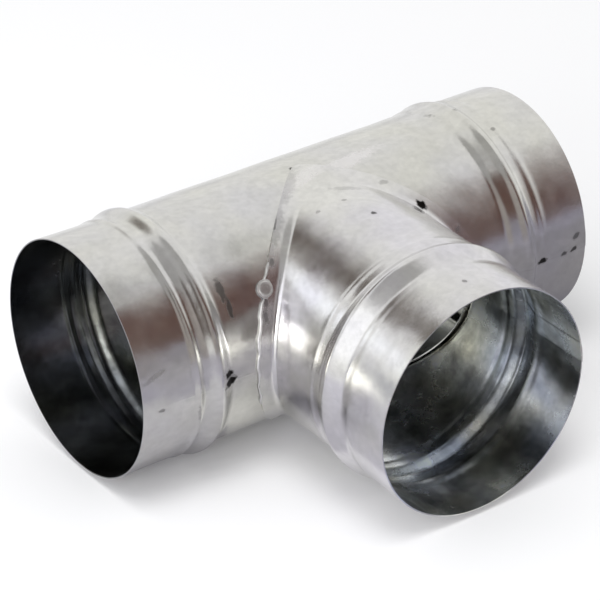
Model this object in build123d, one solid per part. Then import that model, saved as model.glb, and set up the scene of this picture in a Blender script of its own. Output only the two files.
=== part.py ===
from build123d import *
import math
import os

# Equal duct tee of thin galvanised sheet steel, for round ducts of nominal 100 mm.
# The through tube lies along X and the branch points along -Y; all three spigots lie flat, +Z is up.
# The origin is where the two tube axes cross. All sizes are in millimetres, angles in degrees.

# Sheet
sheet = 0.5

# Through tube, and how much smaller the branch is
run_diameter = 99.0
branch_undersize = 1.0

# Plain spigots, from the rim to the foot of the bead; these take the ducts
left_spigot = 31.5
right_spigot = 26.5
branch_spigot = 29.5

# Plain stretches of the body, from the saddle to the foot of the bead
left_body = 12.75
right_body = 17.75
branch_body = 27.25

# Stop bead rolled round each spigot: sloping flanks and a narrow crown
bead_width = 9.0
bead_crown = 3.0
bead_height = 2.4

# Lap seams where each rolled sheet overlaps itself, pressed down by the welding
lap_width = 10.0
lap_step = 0.2
run_seam_above_front = 5.2
branch_seam_above_side = 6.4

# Saddle flange turned out at the foot of the branch
flange_reach = 6.5
flange_tip_radius = 6.0
bend_radius = 1.5
lap_above_bend = 2.5
seat_gap = 0.05

# Hole in the through tube, smaller than the branch bore so that its edge shows as a lip
hole_lip = 1.0

run_radius = run_diameter / 2
branch_radius = run_radius - branch_undersize / 2
branch_bore_radius = branch_radius - sheet
seat_radius = run_radius + lap_step + seat_gap
saddle_radius = seat_radius + sheet
foot_radius = saddle_radius + bend_radius + lap_above_bend
flange_edge = saddle_radius + flange_reach

left_bead = -(flange_edge + left_body + bead_width / 2)
left_rim = left_bead - bead_width / 2 - left_spigot
right_bead = flange_edge + right_body + bead_width / 2
right_rim = right_bead + bead_width / 2 + right_spigot
branch_bead = foot_radius + branch_body + bead_width / 2
branch_rim = branch_bead + bead_width / 2 + branch_spigot
bar_length = 2 * (right_rim - left_rim)


def beaded_line(radius, start, end, beads, inset):
    """Corners of one face of the sheet along the tube, at a depth below the outer face.

    A bend moves the corners of a deeper face by the tangent of half its angle, so the sheet keeps
    its thickness on the flanks.
    """
    flank_angle = math.atan2(bead_height, (bead_width - bead_crown) / 2)
    shift = inset * math.tan(flank_angle / 2)
    half_foot = bead_width / 2 - shift
    half_crown = bead_crown / 2 - shift
    level = radius - inset
    corners = [(start, level)]
    for middle in beads:
        corners.append((middle - half_foot, level))
        corners.append((middle - half_crown, level + bead_height))
        corners.append((middle + half_crown, level + bead_height))
        corners.append((middle + half_foot, level))
    corners.append((end, level))
    return corners


def wall_profile(radius, start, end, beads, step):
    """Section through the wall of a beaded tube, thicker by a step on both faces at the lap."""
    outer = beaded_line(radius, start, end, beads, -step)
    inner = beaded_line(radius, start, end, beads, sheet + step)
    return make_face(Polyline(outer + inner[::-1], close=True))


def beaded_tube(radius, start, end, beads, seam_angle):
    """Sheet rolled to a tube along X, with the overlap of its two edges at the lap seam."""
    lap_angle = math.degrees(lap_width / radius)
    wall = revolve(wall_profile(radius, start, end, beads, 0), Axis.X)
    lap = revolve(wall_profile(radius, start, end, beads, lap_step), Axis.X, lap_angle)
    return Rot(X=seam_angle - lap_angle / 2) * (wall + lap)


def along_x(radius):
    """Round bar along the through tube, longer than the tube at both ends."""
    return Rot(Y=90) * Cylinder(radius, bar_length)


def towards_branch(radius):
    """Round bar from the crossing of the axes along the branch and past its rim."""
    from_crossing = (Align.CENTER, Align.CENTER, Align.MIN)
    return Rot(X=90) * Cylinder(radius, bar_length, align=from_crossing)


def rounded_cross(through_radius, side_radius, crease_radius):
    """Two crossing round bars whose inner corner is rounded, as sheet bends round it."""
    through_bar = along_x(through_radius)
    side_bar = towards_branch(side_radius)
    cross = through_bar + side_bar
    crease = new_edges(through_bar, side_bar, combined=cross)
    return fillet(crease, crease_radius)


def saddle_wedge():
    """Wedge over the branch whose two edges run parallel to the mitre between the tubes."""
    corners = [
        (0, flange_reach),
        (-branch_rim, flange_reach - branch_rim),
        (branch_rim, flange_reach - branch_rim),
    ]
    outline = make_face(Polyline(corners, close=True))
    tip = outline.vertices().sort_by(Axis.Y)[-1]
    return extrude(fillet(tip, flange_tip_radius), run_diameter, both=True)


def build_run_tube():
    """Through tube: two beaded spigots and a round hole that opens into the branch."""
    seam_angle = 180 - run_seam_above_front
    tube = beaded_tube(run_radius, left_rim, right_rim, [left_bead, right_bead], seam_angle)
    return tube - towards_branch(branch_bore_radius - hole_lip)


def build_branch_collar():
    """Branch collar: a beaded spigot whose foot is turned out to a saddle on the through tube.

    The bend is the space between two rounded crosses, one sheet apart, so it keeps the sheet's
    thickness. The lap of the spigot ends above the bend.
    """
    outside = rounded_cross(saddle_radius, branch_radius, bend_radius)
    inside = rounded_cross(seat_radius, branch_bore_radius, bend_radius + sheet)
    foot = along_x(foot_radius)
    saddle = (outside - inside) & saddle_wedge() & foot

    tube = beaded_tube(branch_radius, 0, branch_rim, [branch_bead], branch_seam_above_side)
    spigot = Rot(Z=-90) * tube - foot
    return spigot + saddle


os.makedirs("parts", exist_ok=True)
export_step(build_run_tube(), "parts/run_tube.step")
export_step(build_branch_collar(), "parts/branch_collar.step")
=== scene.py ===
import bmesh
import bpy
import numpy as np
from mathutils import Matrix, Vector


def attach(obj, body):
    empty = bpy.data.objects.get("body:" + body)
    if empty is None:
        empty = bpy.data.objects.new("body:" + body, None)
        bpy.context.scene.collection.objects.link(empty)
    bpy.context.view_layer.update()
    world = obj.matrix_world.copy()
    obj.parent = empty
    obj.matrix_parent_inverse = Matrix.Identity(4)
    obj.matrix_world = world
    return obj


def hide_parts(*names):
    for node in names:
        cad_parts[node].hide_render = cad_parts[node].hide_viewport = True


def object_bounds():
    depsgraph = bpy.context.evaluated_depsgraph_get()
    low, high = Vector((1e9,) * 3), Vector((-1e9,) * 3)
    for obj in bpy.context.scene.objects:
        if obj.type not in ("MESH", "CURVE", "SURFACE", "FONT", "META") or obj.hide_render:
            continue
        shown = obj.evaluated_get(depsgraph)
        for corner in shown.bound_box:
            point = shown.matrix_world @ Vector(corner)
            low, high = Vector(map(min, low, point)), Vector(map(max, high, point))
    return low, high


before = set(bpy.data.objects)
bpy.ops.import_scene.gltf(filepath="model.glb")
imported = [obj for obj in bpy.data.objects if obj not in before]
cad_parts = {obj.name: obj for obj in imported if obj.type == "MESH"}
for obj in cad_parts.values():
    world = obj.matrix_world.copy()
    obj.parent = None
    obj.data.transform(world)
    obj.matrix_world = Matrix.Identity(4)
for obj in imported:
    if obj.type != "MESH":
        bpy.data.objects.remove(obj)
cad_low, cad_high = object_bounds()


# Through tube
# One sheet of galvanised steel, 0.5 mm thick, rolled into a tube and spot-welded along a lap that
# faces the branch. A stop bead is rolled in near each end, and a round hole opens into the branch.

# Sizes of the tee are in millimetres, and its meshes are in metres.
sheet = 0.5
run_radius = 49.5
run_rims = (-110.0, 110.0)
hole_radius = 47.5

# Each bead has its middle along the tube, and the corners of a cut through it: how far each lies from
# the middle, and how high it stands. Beside the crown the roller left a low ridge.
left_middle = -74.0
left_bead = (
    (-11.6, 0), (-10, 0.85), (-8.6, 0.1), (-5, 0.5),
    (-1.4, 2.3), (0.8, 2.3), (4.4, 0.2), (9.5, 0),
)
right_middle = 79.0
right_bead = (
    (-9, 0), (-7, 0.6), (-1.8, 1.3), (0.2, 2.1), (1.6, 2.1),
    (4.5, 0.4), (7.5, 0.1), (9.5, 0.45), (11.5, 0),
)
bead_slant = 0.9
corner_round = 0.8

# The lap steps up at its free edge. Its left end was pressed flatter than its right.
run_seam = np.radians(5.2)
lap_half = 5.0
lap_edge = 0.3
lap_step = 0.2
left_lap_share = 0.2

# Handling left the sheet wavy, and each mouth a little oval over its last stretch.
wave_height = 0.12
run_oval = 0.35
run_oval_length = 30.0
left_oval_turn = 3.5
right_oval_turn = 2.2


def rolled(along, corners):
    """Height of a rolled bead: straight ramps between its corners, averaged along it to round them."""
    places, heights = zip(*corners)
    shifts = np.linspace(-corner_round, corner_round, 9)
    return np.mean([np.interp(along + shift, places, heights) for shift in shifts], axis=0)


def lap_rise(across):
    """How far a lapped sheet is raised, from 0 to 1, by the distance across the lap from its middle.

    It jumps up at the free edge, half a width before the middle, and eases down over the far half.
    """
    edge = np.clip((across + lap_half) / lap_edge, 0, 1)
    far = np.clip((lap_half - across) / lap_half, 0, 1)
    return edge * far * far * (3 - 2 * far)


def lap_columns(seam, radius):
    """Angles that follow the two edges of a lap closely, so that its steps stay sharp."""
    edges = seam + lap_half / radius * np.array([[-1], [1]])
    return edges + np.radians([-0.5, -0.35, 0, 0.35, 0.5])


def waves(along, around, seed):
    """Slight waves of hand-rolled sheet: seeded sines along it times cosines round it, added up."""
    chance = np.random.default_rng(seed)
    height = np.zeros(np.broadcast(along, around).shape)
    for turns in range(1, 8):
        pitch = chance.uniform(30, 90)
        start = chance.uniform(0, 2 * np.pi)
        more = chance.uniform(0, 2 * np.pi)
        height += np.sin(2 * np.pi * along / pitch + start) * np.cos(turns * around + more) / (1 + turns)
    return wave_height * height


def sheet_normals(grid):
    """Unit normals that point out of a round grid: the way along it crossed with the way round it."""
    around = np.roll(grid, -1, axis=1) - np.roll(grid, 1, axis=1)
    along = np.gradient(grid, axis=0)
    normal = np.cross(along, around)
    return normal / np.linalg.norm(normal, axis=2, keepdims=True)


def put_sheet(name, outer, inner, left_out):
    """Makes one closed shell of an outer and an inner grid, both round in their columns.

    left_out marks the cells of a hole. The first and last rows, and the hole's edges, get a strip
    across the thickness of the sheet. The attribute says which points are on the inner face.
    """
    rows, columns = outer.shape[:2]
    index = np.arange(rows * columns).reshape(rows, columns)
    right = np.roll(index, -1, axis=1)
    cells = np.stack([index[:-1], index[1:], right[1:], right[:-1]], axis=2)
    kept = cells[~left_out]

    # An edge that no cell runs back along is on a rim. Points of the inner face are numbered on.
    deeper = rows * columns
    edges = np.stack([kept, np.roll(kept, -1, axis=1)], axis=2).reshape(-1, 2)
    keys = edges[:, 0] * deeper + edges[:, 1]
    back_keys = edges[:, 1] * deeper + edges[:, 0]
    rim = edges[~np.isin(keys, back_keys)]
    strips = np.stack([rim[:, 1], rim[:, 0], rim[:, 0] + deeper, rim[:, 1] + deeper], axis=1)
    faces = np.concatenate([kept, kept[:, ::-1] + deeper, strips])

    points = np.concatenate([outer.reshape(-1, 3), inner.reshape(-1, 3)]) * 0.001
    used, faces = np.unique(faces, return_inverse=True)
    mesh = bpy.data.meshes.new(name)
    mesh.from_pydata(points[used], [], faces.reshape(-1, 4))
    inside = mesh.attributes.new("inside", "FLOAT", "POINT")
    inside.data.foreach_set("value", (used >= deeper).astype(np.float32))
    mesh.shade_smooth()
    mesh.set_sharp_from_angle(angle=np.radians(40))
    piece = bpy.data.objects.new(name, mesh)
    bpy.context.scene.collection.objects.link(piece)
    return piece


def run_wall():
    """Through tube as a grid of places along it and angles round it, from the front upwards.

    Radius: tube, plus slightly slanted beads along it, plus the step of the lap round it, plus a little
    flattening of the open ends, plus waves. Rows squeeze together towards the hole, whose edge is where
    the height and the length make a circle.
    """
    # In front, the columns follow the hole and stop just short of its top and bottom.
    hole_end = np.radians(88.6)
    seam_columns = np.arcsin(run_radius * np.sin(lap_columns(run_seam, run_radius)) / hole_radius)
    hole_angles = np.union1d(np.linspace(-hole_end, hole_end, 121), seam_columns)
    front = np.arcsin(hole_radius * np.sin(hole_angles) / run_radius)
    back = np.linspace(front[-1], 2 * np.pi + front[0], 132)[1:-1]
    angle = np.concatenate([front, back])
    slit = np.full(len(back), hole_radius * np.cos(hole_end))
    half_hole = np.concatenate([hole_radius * np.cos(hole_angles), slit])

    # The rows lie close together over each bead, and are shared out between it and the hole.
    left_from = left_middle - 16
    left_to = left_middle + 16
    right_from = right_middle - 18
    right_to = right_middle + 16
    left_spigot = np.linspace(run_rims[0], left_from, 7)[:-1]
    left_rows = np.concatenate([left_spigot, np.linspace(left_from, left_to, 46)])
    right_spigot = np.linspace(right_to, run_rims[1], 6)[1:]
    right_rows = np.concatenate([np.linspace(right_from, right_to, 48), right_spigot])
    share = np.linspace(0, 1, 15)[1:, None]
    left_body = left_to - share * (left_to + half_hole)
    right_body = half_hole + (1 - share[::-1]) * (right_from - half_hole)
    around = np.ones(len(angle))
    x = np.concatenate([left_rows[:, None] * around, left_body, right_body, right_rows[:, None] * around])

    slant = bead_slant * np.sin(angle)
    out = np.full(x.shape, run_radius)
    out += rolled(x - left_middle + slant, left_bead)
    out += rolled(x - right_middle + slant, right_bead)
    across = (angle - run_seam) * run_radius
    pressed = lap_step * np.where(x < 0, left_lap_share, 1.0)
    out += pressed * lap_rise(across)
    oval = np.clip((np.abs(x) - run_rims[1]) / run_oval_length + 1, 0, 1) ** 2
    out += oval * run_oval * np.cos(2 * angle - np.where(x < 0, left_oval_turn, right_oval_turn))
    out += waves(x, angle, 3)
    outer = np.stack([x, -out * np.cos(angle), out * np.sin(angle)], axis=2)

    thickness = sheet + pressed * (lap_rise(across) + lap_rise(-across))
    inner = outer - thickness[:, :, None] * sheet_normals(outer)
    inner[0, :, 0] = outer[0, :, 0]
    inner[-1, :, 0] = outer[-1, :, 0]

    left_out = np.zeros((x.shape[0] - 1, x.shape[1]), bool)
    left_out[len(left_rows) + len(left_body) - 1, :len(front) - 1] = True
    return outer, inner, left_out


def linear(hex_colour):
    """An sRGB hex colour as a linear RGBA tuple: the sRGB curve undone for each channel."""
    channels = np.array([int(hex_colour[i:i + 2], 16) for i in (1, 3, 5)]) / 255
    low = channels / 12.92
    high = ((channels + 0.055) / 1.055) ** 2.4
    return (*np.where(channels <= 0.04045, low, high).tolist(), 1.0)


def add(tree, kind, inputs, **settings):
    """Adds a node with its settings, and sets or links each of its inputs by name or number."""
    node = tree.nodes.new(kind)
    for name, value in settings.items():
        setattr(node, name, value)
    for socket, value in inputs.items():
        if isinstance(value, bpy.types.NodeSocket):
            tree.links.new(value, node.inputs[socket])
        else:
            node.inputs[socket].default_value = value
    return node


def marked(tree, place, marks):
    """How strongly a list of marks covers a place, from 0 to 1.

    A mark is a stretched ball: its middle, the way from there to one end and its half width, all in
    millimetres, then its strength. It fades near its edge, which a noise of 1.5 mm makes ragged.
    """
    noise = add(tree, "ShaderNodeTexNoise", {"Vector": place, "Scale": 1 / 0.0015, "Detail": 2.0})
    ragged = add(tree, "ShaderNodeMapRange", {
        "Value": noise.outputs["Fac"], "To Min": -0.6, "To Max": 0.6})
    cover = 0.0
    for middle, reach, width, strength in marks:
        size = Vector((Vector(reach).length + width, width, width))
        ball = add(tree, "ShaderNodeMapping", {
            "Vector": place,
            "Location": Vector(middle) * 0.001,
            "Rotation": Vector(reach).to_track_quat("X", "Z").to_euler(),
            "Scale": size * 0.001,
        }, vector_type="TEXTURE")
        away = add(tree, "ShaderNodeVectorMath", {0: ball.outputs[0]}, operation="LENGTH")
        edge = add(tree, "ShaderNodeMath", {0: away.outputs["Value"], 1: ragged.outputs[0]})
        fade = add(tree, "ShaderNodeMapRange", {
            "Value": edge.outputs[0],
            "From Min": 0.65, "From Max": 1.1,
            "To Min": strength, "To Max": 0.0,
        })
        both = add(tree, "ShaderNodeMath", {0: cover, 1: fade.outputs[0]}, operation="MAXIMUM")
        cover = both.outputs[0]
    return cover


def galvanised_steel(name, outside, inside, film, dirt_and_shade, pale_spots):
    """Hot-dip galvanised steel: satin grey metal that mirrors its surroundings softly.

    The zinc froze in crystals of about 5 mm that handling has dulled, so the eye sees faint facets,
    blotches and clouds. outside is a warmer and a cooler grey. inside is a warmer and a cooler grey too,
    with light and shade painted into it: the through tube's is painted darker, as shade inside the tube,
    and the branch's is painted paler, as light on its inner wall. The inside is tarnished in clouds, and
    its dull film adds to its roughness. dirt_and_shade holds black marks: dirt and scorch, and painted
    shade in a gap and a crease by the flange. The marks in pale_spots are pale and dull.
    """
    material = bpy.data.materials.new(name)
    material.use_nodes = True
    tree = material.node_tree
    shader = tree.nodes["Principled BSDF"]
    shader.inputs["Metallic"].default_value = 1.0
    place = add(tree, "ShaderNodeTexCoord", {}).outputs["Object"]
    inner_face = add(tree, "ShaderNodeAttribute", {}, attribute_name="inside").outputs["Fac"]
    outer_face = add(tree, "ShaderNodeMath", {0: 1.0, 1: inner_face}, operation="SUBTRACT").outputs[0]

    # Light and dark: crystals of 5 mm, blotches of 2.8 mm and clouds of 22 mm.
    crystals = add(tree, "ShaderNodeTexVoronoi", {"Vector": place, "Scale": 1 / 0.005})
    blotches = add(tree, "ShaderNodeTexNoise", {"Vector": place, "Scale": 1 / 0.0028, "Detail": 3.0})
    clouds = add(tree, "ShaderNodeTexNoise", {
        "Vector": place, "Scale": 1 / 0.022, "Detail": 5.0, "Roughness": 0.65})
    facet = add(tree, "ShaderNodeMapRange", {
        "Value": crystals.outputs["Color"], "To Min": 0.96, "To Max": 1.03})
    speckle = add(tree, "ShaderNodeMapRange", {
        "Value": blotches.outputs["Fac"], "From Min": 0.3, "From Max": 0.7, "To Min": 0.94, "To Max": 1.04})
    shade = add(tree, "ShaderNodeMapRange", {
        "Value": clouds.outputs["Fac"], "From Min": 0.3, "From Max": 0.7, "To Min": 0.93, "To Max": 1.04})
    tone = add(tree, "ShaderNodeMath", {0: facet.outputs[0], 1: speckle.outputs[0]}, operation="MULTIPLY")
    tone = add(tree, "ShaderNodeMath", {0: tone.outputs[0], 1: shade.outputs[0]}, operation="MULTIPLY")
    tarnish = add(tree, "ShaderNodeMapRange", {
        "Value": clouds.outputs["Fac"], "From Min": 0.38, "From Max": 0.62, "To Min": 0.55, "To Max": 1.25})

    # Warm and cool greys drift over 35 mm. In a colour mix, inputs 6 and 7 are the two colours and
    # output 2 is the result.
    drift = add(tree, "ShaderNodeTexNoise", {"Vector": place, "Scale": 1 / 0.035, "Detail": 2.0})
    tint = add(tree, "ShaderNodeMapRange", {
        "Value": drift.outputs["Fac"], "From Min": 0.35, "From Max": 0.65}).outputs[0]
    outer = add(tree, "ShaderNodeMix", {
        0: tint, 6: linear(outside[0]), 7: linear(outside[1])}, data_type="RGBA")
    # The inner face takes the inside greys, with their painted shade in the tube and painted light in the
    # branch.
    inner = add(tree, "ShaderNodeMix", {
        0: tint, 6: linear(inside[0]), 7: linear(inside[1])}, data_type="RGBA")
    inner = add(tree, "ShaderNodeMix", {
        0: 1.0, 6: inner.outputs[2], 7: tarnish.outputs[0]}, data_type="RGBA", blend_type="MULTIPLY")
    zinc = add(tree, "ShaderNodeMix", {
        0: inner_face, 6: outer.outputs[2], 7: inner.outputs[2]}, data_type="RGBA")
    zinc = add(tree, "ShaderNodeMix", {
        0: 1.0, 6: zinc.outputs[2], 7: tone.outputs[0]}, data_type="RGBA", blend_type="MULTIPLY")

    # Marks are on the outer face only.
    pale_spot_cover = marked(tree, place, pale_spots)
    pale = add(tree, "ShaderNodeMath", {0: pale_spot_cover, 1: outer_face}, operation="MULTIPLY").outputs[0]
    # Black marks of dirt and scorch, and painted shade in the gap under the flange's left edge and in the
    # crease at the branch's top.
    dirt_and_shade_cover = marked(tree, place, dirt_and_shade)
    grime_and_shade = add(tree, "ShaderNodeMath", {0: dirt_and_shade_cover, 1: outer_face}, operation="MULTIPLY").outputs[0]
    with_pale_spots = add(tree, "ShaderNodeMix", {0: pale, 6: zinc.outputs[2], 7: linear("#e9e6e6")}, data_type="RGBA")
    dirtied_and_shaded = add(tree, "ShaderNodeMix", {0: grime_and_shade, 6: with_pale_spots.outputs[2], 7: linear("#1b1816")}, data_type="RGBA")
    tree.links.new(dirtied_and_shaded.outputs[2], shader.inputs["Base Color"])

    # The gloss is satin, duller in the clouds, under the film, on the pale spots, and in dirt and painted
    # shade.
    satin = add(tree, "ShaderNodeMapRange", {
        "Value": clouds.outputs["Fac"], "From Min": 0.3, "From Max": 0.7, "To Min": 0.18, "To Max": 0.26})
    filmed = add(tree, "ShaderNodeMath", {
        0: inner_face, 1: film, 2: satin.outputs[0]}, operation="MULTIPLY_ADD")
    dulled = add(tree, "ShaderNodeMath", {0: pale, 1: 0.12, 2: filmed.outputs[0]}, operation="MULTIPLY_ADD")
    matt = add(tree, "ShaderNodeMath", {0: grime_and_shade, 1: 0.2, 2: dulled.outputs[0]}, operation="MULTIPLY_ADD")
    tree.links.new(matt.outputs[0], shader.inputs["Roughness"])

    # Relief: pits of 1.6 mm, coarser than real ones so that they show, and dents of 16 mm.
    grain = add(tree, "ShaderNodeTexNoise", {
        "Vector": place, "Scale": 1 / 0.0016, "Detail": 3.0, "Roughness": 0.6})
    swell = add(tree, "ShaderNodeTexNoise", {"Vector": place, "Scale": 1 / 0.016, "Detail": 1.0})
    pits = add(tree, "ShaderNodeBump", {
        "Height": grain.outputs["Fac"], "Strength": 0.07, "Distance": 0.0003})
    dents = add(tree, "ShaderNodeBump", {
        "Height": swell.outputs["Fac"],
        "Strength": 1.0,
        "Distance": 0.0004,
        "Normal": pits.outputs["Normal"],
    })
    tree.links.new(dents.outputs["Normal"], shader.inputs["Normal"])
    return material


run_dirt = [
    # Black specks on the left bead, and a smear beside it
    ((-70.8, -50.4, 4.2), (1.0, 0.2, 0), 1.9, 1.0),
    ((-70.4, -50.5, 0.6), (1.6, 0.3, 0.4), 2.2, 1.0),
    ((-65.0, -36.4, 33.2), (0.2, 2.4, 3.0), 1.9, 0.65),
    ((-64.0, -41.0, 27.2), (0.2, 1.9, 2.6), 1.3, 0.7),
    # Specks round the edge of the branch's flange
    ((-55.5, -49.8, -0.9), (0, 0, 0), 1.3, 0.95),
    ((-2.4, 3.0, 50.0), (0, 0, 0), 1.6, 0.85),
    ((-7.0, -1.2, 50.2), (-4.0, -4.2, -0.1), 0.8, 0.35),
    ((8.1, -5.1, 49.8), (1.2, -1.0, 0), 0.8, 0.4),
    # Dull spots over the right bead
    ((69.7, 7.5, 50.6), (1.0, -2.0, 0), 1.6, 0.35),
    ((79.7, 1.4, 51.6), (0, 0, 0), 1.2, 0.4),
    ((86.7, -15.2, 47.2), (0, 0, 0), 1.2, 0.4),
    # Specks on the right spigot
    ((86.5, -49.7, 0.5), (1.2, 0, 0.2), 1.5, 0.95),
    ((98.3, -49.7, -0.2), (0.6, 0, 0), 1.2, 0.7),
    ((103.6, -49.7, 0.3), (0.8, 0, 0.3), 1.2, 0.8),
    ((104.8, -49.3, 6.0), (0.8, 0, 0.5), 1.3, 0.6),
    # Scratches and a speck on the left spigot
    ((-104.0, -47.7, 13.2), (5.0, 0.4, 1.4), 1.2, 0.25),
    ((-101.9, -49.5, -1.5), (0.8, 0, 0), 0.9, 0.5),
    ((-84.0, -48.5, -9.3), (0.3, 0.8, -4.2), 1.0, 0.3),
]
run_pale_spots = [
    # A pale, duller strip along the top of the tube beside the tip of the flange, and a pale spot on the
    # right spigot
    ((14.2, -5.8, 49.8), (21.5, 3.3, 0.2), 4.0, 0.55),
    ((98.3, -49.4, 5.4), (2.5, 0, -0.8), 1.8, 0.3),
]
tube_steel = galvanised_steel(
    "galvanised_steel_of_tube",
    outside=("#d3d2cb", "#d0cfcf"),
    # Painted shade: the inside greys are darker than the outside ones, as shade inside the tube.
    inside=("#8c8d84", "#80848a"),
    film=0.02,
    dirt_and_shade=run_dirt,
    pale_spots=run_pale_spots,
)
through_tube = put_sheet("through_tube", *run_wall())
through_tube.data.materials.append(tube_steel)
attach(through_tube, "root")
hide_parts("run_tube")


# Branch collar
# A second galvanised sheet, rolled into a slightly smaller tube with one stop bead. Its foot is bent
# outwards into a narrow flange that lies on the through tube and is spot-welded to it.

branch_radius = 49.0
branch_rim = 120.0
branch_seam = np.radians(6.4)
branch_middle = 86.0
branch_bead = (
    (-14, 0), (-12.3, 0.3), (-10.5, 0), (-7, 0), (-2.6, 2.3),
    (-1.2, 2.3), (6.8, -0.3), (9, -0.3), (11.5, 0),
)
branch_oval = 0.3
branch_oval_length = 25.0
branch_oval_turn = 0.9

# The flange lies on the saddle, and the welding pressed its edge down.
saddle_radius = 50.25
flange_reach = 6.5
flange_tip = 2.5
bend_reach = 2.6
pressed_down = 0.15


def branch_wall():
    """Branch collar as a grid of steps from its rim to the edge of its flange, and angles round it.

    The tube is as long as the round saddle lets it be. The bend is a quadratic curve round the
    crease, and the flange runs on over the saddle to an edge that is, seen from above, a hyperbola
    beside the mitre.
    """
    evenly = np.linspace(-np.pi / 2, 1.5 * np.pi, 288, endpoint=False)
    angle = np.union1d(evenly, lap_columns(branch_seam, branch_radius))
    across = (angle - branch_seam) * branch_radius

    # Where the tube would meet the saddle, and where the flange ends.
    crease_x = branch_radius * np.cos(angle)
    crease_z = branch_radius * np.sin(angle)
    crease_y = np.sqrt(saddle_radius ** 2 - crease_z ** 2)
    edge_x = np.sqrt((flange_reach + saddle_radius) ** 2 - flange_tip ** 2) * np.cos(angle)
    edge_y = np.minimum(np.sqrt(edge_x ** 2 + flange_tip ** 2) - flange_reach, saddle_radius)
    crease_turn = np.arcsin(crease_z / saddle_radius)
    edge_turn = np.arccos(edge_y / saddle_radius) * np.sign(np.sin(angle))

    def on_saddle(share):
        """Points of the flange, a share of the way from the crease to the edge."""
        turn = crease_turn + share * (edge_turn - crease_turn)
        x = crease_x + share * (edge_x - crease_x)
        level = saddle_radius - pressed_down * share
        return np.stack([x, -level * np.cos(turn), level * np.sin(turn)], axis=-1)

    bead_from = branch_middle + 15
    bead_to = branch_middle - 15
    spigot = np.linspace(branch_rim, bead_from, 7)[:-1]
    straight = np.concatenate([spigot, np.linspace(bead_from, bead_to, 44)])[:, None]
    body = np.linspace(0, 1, 16)[1:, None]
    y = np.concatenate([straight * np.ones(len(angle)), bead_to + body * (crease_y + bend_reach - bead_to)])

    # The lap and the waves die out a few millimetres above the crease.
    above_crease = y - crease_y
    out = branch_radius + rolled(y - branch_middle, branch_bead)
    pressed = lap_step * np.clip((above_crease - 4) / 2, 0, 1)
    out += pressed * lap_rise(across)
    oval = np.clip((y - branch_rim) / branch_oval_length + 1, 0, 1) ** 2
    out += oval * branch_oval * np.cos(2 * angle - branch_oval_turn)
    out += waves(y, angle, 8) * np.clip((above_crease - 3) / 8, 0, 1)
    tube = np.stack([out * np.cos(angle), -y, out * np.sin(angle)], axis=2)

    near = tube[-1]
    crease = on_saddle(0.0)
    reach = bend_reach / np.linalg.norm(on_saddle(1.0) - crease, axis=-1)
    far = on_saddle(reach)
    t = np.linspace(0, 1, 9)[1:, None, None]
    bend = (1 - t) ** 2 * near + 2 * t * (1 - t) * crease + t ** 2 * far
    flange = on_saddle(reach + np.linspace(0, 1, 7)[1:, None] * (1 - reach))
    outer = np.concatenate([tube, bend, flange])

    thickness = np.full(outer.shape[:2], sheet)
    thickness[:len(y)] += pressed * (lap_rise(across) + lap_rise(-across))
    inner = outer - thickness[:, :, None] * sheet_normals(outer)
    inner[0, :, 1] = outer[0, :, 1]
    return outer, inner, np.zeros((len(outer) - 1, len(angle)), bool)


branch_dirt_and_shade = [
    # Scorch marks of the welds on the right of the flange
    ((35.3, -34.1, 36.9), (0.6, -0.9, -0.6), 1.9, 1.0),
    ((25.3, -21.8, 45.3), (0.8, -0.2, -0.1), 1.3, 0.25),
    ((47.0, -43.1, 26.0), (0, 0, 0), 1.6, 0.3),
    # Painted shade: a black line in the gap under the left edge of the flange. Then scorched spots beside the
    # weld there
    ((-28.8, -22.3, 45.0), (-2.7, -3.1, -1.5), 0.8, 0.6),
    ((-48.3, -43.4, 25.5), (-0.2, -0.6, -1.2), 1.2, 0.5),
    ((-50.1, -45.9, 20.5), (-0.2, -0.7, -1.8), 1.2, 0.5),
    ((-39.2, -34.8, 36.3), (-0.3, -0.5, -0.6), 1.2, 0.5),
    # Specks along the top of the branch
    ((-0.4, -29.6, 49.0), (0, 0, 0), 1.1, 0.35),
    ((3.0, -44.9, 48.9), (0, 0, 0), 1.3, 0.8),
    ((-12.7, -29.0, 47.3), (0, 0, 0), 1.2, 0.3),
    ((-0.7, -107.6, 49.0), (0, 0, 0), 1.2, 0.5),
    # Painted shade in the crease at the top of the branch, then a thin film on the flange, at its top and
    # down its left side
    ((6.5, -21.5, 48.6), (5.3, -2.2, -0.7), 1.8, 0.2),
    ((-14.0, -8.0, 49.4), (9.5, 8.0, 1.0), 4.0, 0.22),
    ((-31.0, -24.5, 43.7), (-9.0, -8.0, -5.5), 3.6, 0.22),
]
branch_pale_spots = [
    # A pale, duller strip at the top of the flange, and pale spots down its left side
    ((-3.0, -6.0, 49.9), (9.0, 3.0, 0), 4.0, 0.35),
    ((-36.5, -30.0, 40.3), (-0.4, -1.8, -1.4), 1.8, 0.5),
    ((-50.5, -46.5, 17.5), (-3.7, -4.5, -12.2), 2.6, 0.3),
]
branch_steel = galvanised_steel(
    "galvanised_steel_of_branch",
    outside=("#d9d8d3", "#d6d4d8"),
    # Painted light: the inside greys are paler than the outside ones, as light on the branch's inner wall.
    inside=("#efecda", "#d8e0ec"),
    film=0.04,
    dirt_and_shade=branch_dirt_and_shade,
    pale_spots=branch_pale_spots,
)
branch_collar = put_sheet("branch_collar_sheet", *branch_wall())
branch_collar.data.materials.append(branch_steel)
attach(branch_collar, "root")
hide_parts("branch_collar")


# Spot welds
# Where the electrodes pressed the flange on to the tube, each weld left a ring of squeezed-out zinc
# round a sunk and scorched middle. Above the right they were pressed flat and left only scorch marks.

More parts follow.
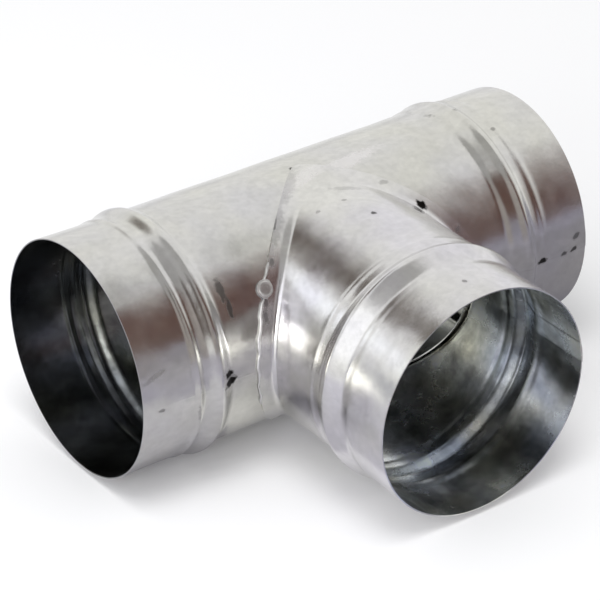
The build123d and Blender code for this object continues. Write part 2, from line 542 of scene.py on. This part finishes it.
# Each weld's place along the tube, degrees above the front, size, height of its ring, and scorching
welds = np.array([
    (-46.3, 35.9, 1.2, 0.26, 0.5),
    (-45.6, -18.9, 0.8, 0.08, 0.3),
    (25.5, -62.0, 0.7, 0.02, 0.4),
    (36.0, -48.0, 0.7, 0.04, 1.5),
    (46.3, -31.0, 0.7, 0.03, 0.5),
    (-36.0, -52.0, 0.8, 0.08, 0.5),
])
weld_along, weld_degrees, weld_size, ring_height, weld_scorch = welds.T[:, :, None, None]
weld_reach = 3.3
ring_middle = 2.3
ring_width = 1.0
scorch_reach = 2.4


def ridge(along, middle, width, height):
    """A ridge across a line: a squared cosine, its height in the middle, nothing half a width away."""
    share = np.clip((along - middle) / width, -0.5, 0.5)
    return height * np.cos(np.pi * share) ** 2


def weld_rings():
    """Each weld as a grid of distances from its middle and bearings round it, laid on the round saddle.

    Height above the flange: a flat dome that dips under the flange at its edge, plus a squared-cosine
    ring with lumps. The last row comes back to the middle under the flange and closes the shape.
    """
    steps = np.append(np.linspace(0, weld_reach, 18), 0)
    away, bearing = np.meshgrid(steps, np.linspace(0, 2 * np.pi, 33)[:-1], indexing="ij")
    lumps = 1 + 0.25 * np.sin(3 * bearing + weld_along) + 0.15 * np.sin(7 * bearing)
    dome = 0.02 - 0.04 * (away / weld_reach) ** 2
    height = dome + ridge(away, ring_middle, ring_width, ring_height) * lumps
    height[:, -1] = -0.3
    reach = away * weld_size
    along = weld_along + reach * np.cos(bearing)
    turn = np.radians(weld_degrees) + reach * np.sin(bearing) / saddle_radius
    level = saddle_radius - 0.6 * pressed_down + height
    return np.stack([along, -level * np.cos(turn), level * np.sin(turn)], axis=-1), away


def put_grids(name, grids, material, scorch):
    """Makes one mesh of closed grids: their first and last rows are points, and their columns join up.

    The points where a row shrinks to nothing are merged, and all faces are turned outwards.
    """
    count, rows, columns = grids.shape[:3]
    index = np.arange(count * rows * columns).reshape(count, rows, columns)
    right = np.roll(index, -1, axis=2)
    cells = np.stack([index[:, :-1], index[:, 1:], right[:, 1:], right[:, :-1]], axis=3)
    mesh = bpy.data.meshes.new(name)
    mesh.from_pydata(grids.reshape(-1, 3) * 0.001, [], cells.reshape(-1, 4))
    burnt = mesh.attributes.new("scorch", "FLOAT", "POINT")
    burnt.data.foreach_set("value", np.broadcast_to(scorch, grids.shape[:3]).astype(np.float32).ravel())
    shell = bmesh.new()
    shell.from_mesh(mesh)
    bmesh.ops.remove_doubles(shell, verts=shell.verts, dist=1e-7)
    bmesh.ops.recalc_face_normals(shell, faces=shell.faces)
    shell.to_mesh(mesh)
    shell.free()
    mesh.materials.append(material)
    mesh.shade_smooth()
    piece = bpy.data.objects.new(name, mesh)
    bpy.context.scene.collection.objects.link(piece)
    return piece


def melted_zinc(name):
    """Zinc that melted and froze again: paler, duller and lumpier than the sheet, scorched in places."""
    material = bpy.data.materials.new(name)
    material.use_nodes = True
    tree = material.node_tree
    shader = tree.nodes["Principled BSDF"]
    shader.inputs["Metallic"].default_value = 1.0
    shader.inputs["Roughness"].default_value = 0.42
    place = add(tree, "ShaderNodeTexCoord", {}).outputs["Object"]
    scorch = add(tree, "ShaderNodeAttribute", {}, attribute_name="scorch").outputs["Fac"]
    lumps = add(tree, "ShaderNodeTexNoise", {
        "Vector": place, "Scale": 1 / 0.0012, "Detail": 3.0}).outputs["Fac"]
    burnt = add(tree, "ShaderNodeMath", {0: scorch, 1: lumps}, operation="MULTIPLY", use_clamp=True)
    colour = add(tree, "ShaderNodeMix", {
        0: burnt.outputs[0], 6: linear("#dbdad9"), 7: linear("#2a2625")}, data_type="RGBA")
    tree.links.new(colour.outputs[2], shader.inputs["Base Color"])
    bumps = add(tree, "ShaderNodeBump", {"Height": lumps, "Strength": 0.15, "Distance": 0.0004})
    tree.links.new(bumps.outputs["Normal"], shader.inputs["Normal"])
    return material


rings, from_middle = weld_rings()
frozen_zinc = melted_zinc("melted_zinc")
scorched = np.clip(scorch_reach - from_middle, 0, 1) * weld_scorch
spot_welds = put_grids("spot_welds", rings, frozen_zinc, scorched)
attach(spot_welds, "root")


# Zinc run
# Zinc that ran along the left edge of the flange when it was welded and froze there in a ragged pale
# thread. It sits in the corner between the edge of the flange and the tube.

# Where the thread starts and ends, in degrees above the front
thread_from = -22.0
thread_to = 47.0


def zinc_thread():
    """A ragged round thread along the flange's edge: a circle carried along it.

    Its path is jittered by sines. It is thinner low down and at the weld ring that breaks it, and its
    radius shrinks to nothing at both ends.
    """
    degrees = np.linspace(thread_from, thread_to, 240)[:, None]
    turn = np.radians(degrees)
    lie = np.sqrt((flange_reach + saddle_radius * np.cos(turn)) ** 2 - flange_tip ** 2)
    lie = lie + 0.3 * np.sin(0.53 * degrees) + 0.1 * np.sin(1.3 * degrees)
    thick = 0.38 + 0.28 * np.clip((degrees + 4) / 8, 0, 1) + 0.1 * np.sin(0.41 * degrees + 2)
    ends = np.clip(np.minimum(degrees - thread_from, thread_to - degrees) / 3, 0, 1)
    past_ring = np.clip((np.abs(degrees - weld_degrees[0, 0]) - 3) / 2, 0.05, 1)
    thick = thick * past_ring * np.sqrt(ends * (2 - ends))
    bearing = np.linspace(0, 2 * np.pi, 13)[:-1]
    level = saddle_radius - 0.3 + thick * np.sin(bearing)
    along = -lie - thick * np.cos(bearing)
    return np.stack([along, -level * np.cos(turn), level * np.sin(turn)], axis=-1)[None]


zinc_run = put_grids("zinc_run", zinc_thread(), frozen_zinc, 0.0)
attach(zinc_run, "root")


# Floor
# A large pale sheet of matt paper that the tee lies on. It is part of the studio, not of the tee.

floor_level = cad_low.z
floor_half = 8.0
paper = bpy.data.materials.new("matt_white_paper")
paper.use_nodes = True
paper_shader = paper.node_tree.nodes["Principled BSDF"]
paper_shader.inputs["Base Color"].default_value = linear("#fafafb")
paper_shader.inputs["Roughness"].default_value = 0.9
paper_shader.inputs["Specular IOR Level"].default_value = 0.0
corners = np.array([(-1, -1, 0), (1, -1, 0), (1, 1, 0), (-1, 1, 0)])
floor_mesh = bpy.data.meshes.new("floor")
floor_mesh.from_pydata(corners * floor_half + (0, 0, floor_level), [], [(0, 1, 2, 3)])
floor_mesh.materials.append(paper)
floor = bpy.data.objects.new("floor", floor_mesh)
bpy.context.scene.collection.objects.link(floor)


# Studio
# A white room with soft lamps, and matt cloths hung and laid round the tee. The cloths are seen only in
# the metal, which needs something dark to mirror. Sizes of the studio are in metres.

world = bpy.data.worlds.new("white_room")
bpy.context.scene.world = world
world.use_nodes = True
sky = world.node_tree
rays = add(sky, "ShaderNodeLightPath", {}).outputs
seen = add(sky, "ShaderNodeMath", {0: rays["Is Camera Ray"], 1: rays["Is Glossy Ray"]}, operation="MAXIMUM")
seen = add(sky, "ShaderNodeMath", {0: seen.outputs[0], 1: rays["Is Transmission Ray"]}, operation="MAXIMUM")
brightness = add(sky, "ShaderNodeMapRange", {"Value": seen.outputs[0], "To Min": 0.7, "To Max": 1.0})
sky.links.new(brightness.outputs[0], sky.nodes["Background"].inputs["Strength"])
sky.nodes["Background"].inputs["Color"].default_value = (1, 1, 1, 1)


def put_cloth(name, points, colour, fade=None):
    """A matt cloth from a grid of points, which only reflections see.

    fade is an axis, the place along it where the cloth starts to thin out, and where it is gone.
    """
    rows, columns = points.shape[:2]
    index = np.arange(rows * columns).reshape(rows, columns)
    cells = np.stack([index[:-1, :-1], index[:-1, 1:], index[1:, 1:], index[1:, :-1]], axis=2)
    mesh = bpy.data.meshes.new(name)
    mesh.from_pydata(points.reshape(-1, 3), [], cells.reshape(-1, 4))
    matt_cloth = bpy.data.materials.new(name + "_cloth")
    matt_cloth.use_nodes = True
    tree = matt_cloth.node_tree
    shader = tree.nodes["Principled BSDF"]
    shader.inputs["Base Color"].default_value = linear(colour)
    shader.inputs["Roughness"].default_value = 1.0
    shader.inputs["Specular IOR Level"].default_value = 0.0
    if fade:
        axis, thins_from, gone_at = fade
        place = add(tree, "ShaderNodeTexCoord", {}).outputs["Object"]
        axes = add(tree, "ShaderNodeSeparateXYZ", {"Vector": place}).outputs
        cover = add(tree, "ShaderNodeMapRange", {
            "Value": axes[axis],
            "From Min": thins_from, "From Max": gone_at,
            "To Min": 1.0, "To Max": 0.0,
        })
        tree.links.new(cover.outputs[0], shader.inputs["Alpha"])
    mesh.materials.append(matt_cloth)
    cloth = bpy.data.objects.new(name, mesh)
    cloth.visible_camera = False
    cloth.visible_diffuse = False
    cloth.visible_shadow = False
    bpy.context.scene.collection.objects.link(cloth)


def hung(radius, bearing, low, high):
    """Points of a cloth hung upright on a circle round the tee, from its low to its high edge.

    Bearings are in degrees from the front towards the right, and an edge may vary with them.
    """
    x = radius * np.sin(np.radians(bearing))
    y = -radius * np.cos(np.radians(bearing))
    share = np.linspace(0, 1, 12)[:, None] * np.ones(len(bearing))
    z = low + share * (high - low)
    return np.stack(np.broadcast_arrays(x, y, z), axis=2)


def spread_out(middle, inner, outer, turn, height):
    """Points of a flat cloth between two ovals round a middle, each given by its half sizes in X and Y.

    Turns are in degrees from the right towards the back.
    """
    share = np.linspace(0, 1, 6)[:, None]
    x = middle[0] + (inner[0] + share * (outer[0] - inner[0])) * np.cos(np.radians(turn))
    y = middle[1] + (inner[1] + share * (outer[1] - inner[1])) * np.sin(np.radians(turn))
    return np.stack(np.broadcast_arrays(x, y, height), axis=2)


def laid(x_ends, y_ends, height):
    """Corner points of a flat oblong cloth."""
    x, y = np.meshgrid(x_ends, y_ends)
    return np.stack(np.broadcast_arrays(x, y, height), axis=2)


# A brown curtain stands round the front and fades out to the right. Grey cloth hangs below it.
bearing = np.linspace(17, 95, 40)
hem = np.interp(bearing, [23, 33], [0.37, 0.06])
put_cloth("curtain", hung(1.2, bearing, hem, 1.85), "#60453e", fade=("X", 0.71, 1.17))
put_cloth("skirting", hung(1.2, bearing, floor_level, hem), "#a09eab")

# Behind the camera the room is dark on the left and paler in the middle. A grey ceiling hangs above.
put_cloth("room", hung(0.7, np.linspace(-44, -18, 12), 0.12, 1.3), "#574742", fade=("Z", 0.7, 2.2))
put_cloth("wall", hung(1.2, np.linspace(-18, 17, 12), floor_level, floor_level + 1.7), "#a59f9d")
ceiling = spread_out((-0.15, -0.3), (0, 0), (0.87, 0.87), np.linspace(0, 360, 33), 1.5)
put_cloth("ceiling", ceiling, "#bdbcba")

# A dark panel leans over the back left and fades out to the right, above a low grey cloth.
put_cloth("panel", hung(1.2, np.linspace(215, 165, 20), 0.8, 1.6), "#55483f", fade=("X", -0.32, 0.3))
put_cloth("back_cloth", hung(1.2, np.linspace(250, 210, 12), floor_level, floor_level + 0.3), "#bfc0ca")

# Grey mats lie round the tee, darker on its right, and fade out behind it. Three lie on the first.
mat_level = floor_level + 0.00003
upper_mat_level = mat_level + 0.00003
front_mat = spread_out((0, 0), (0.09, 0.13), (1.2, 1.2), np.linspace(-130, 30, 33), mat_level)
put_cloth("front_mat", front_mat, "#b2b0bd")
put_cloth("left_mat", laid((-0.13, -0.052), (-0.2, 0.2), upper_mat_level), "#cfced4", fade=("Y", 0.0, 0.2))
put_cloth("back_mat", laid((-0.6, -0.13), (-0.15, 0.5), upper_mat_level), "#d4d3dc", fade=("Y", 0.15, 0.5))
put_cloth("right_mat", laid((0.06, 0.45), (-0.5, 0.2), upper_mat_level), "#96949b", fade=("Y", -0.15, 0.2))


def soft_lamp(name, place, size, power, colour):
    """A square soft lamp, turned to face the tee."""
    data = bpy.data.lights.new(name, "AREA")
    data.color = linear(colour)[:3]
    data.size = size
    data.energy = power
    lamp = bpy.data.objects.new(name, data)
    lamp.location = place
    lamp.rotation_mode = "QUATERNION"
    lamp.rotation_quaternion = (-Vector(place)).to_track_quat("-Z", "Y")
    bpy.context.scene.collection.objects.link(lamp)
    return lamp


# The lamp above lights the floor. The metal doesn't show it, because it would leave hard white spots.
lamp_above = soft_lamp("lamp_above", (-0.4, -0.5, 1.8), 0.9, 13.0, "#ffffff")
lamp_above.visible_glossy = False
soft_lamp("left_window", (-1.08, -0.1, 0.66), 1.1, 2.0, "#f4f8ff")
soft_lamp("low_lamp", (-0.99, -0.74, 0.4), 0.65, 5.0, "#ffffff")
soft_lamp("back_window", (-0.8, 0.88, 0.53), 0.35, 0.22, "#eaf4ff")


# Camera
# It looks down on the tee from the front left, from far off through a long lens.

camera_data = bpy.data.cameras.new("camera")
camera_data.sensor_width = 36
camera_data.lens = 195.17
camera_data.clip_start = 0.05
camera_data.clip_end = 50
camera = bpy.data.objects.new("camera", camera_data)
right = Vector((0.812339, -0.583153, -0.006148))
down = Vector((-0.30401, -0.414446, -0.857795))
towards_camera = Vector((-0.497678, -0.698689, 0.513955))
turn = Matrix((right, -down, towards_camera)).transposed()
camera.matrix_world = Matrix.Translation((-0.668773, -0.937392, 0.678243)) @ turn.to_4x4()
bpy.context.scene.collection.objects.link(camera)
bpy.context.scene.camera = camera
bpy.context.scene.view_settings.view_transform = "Standard"
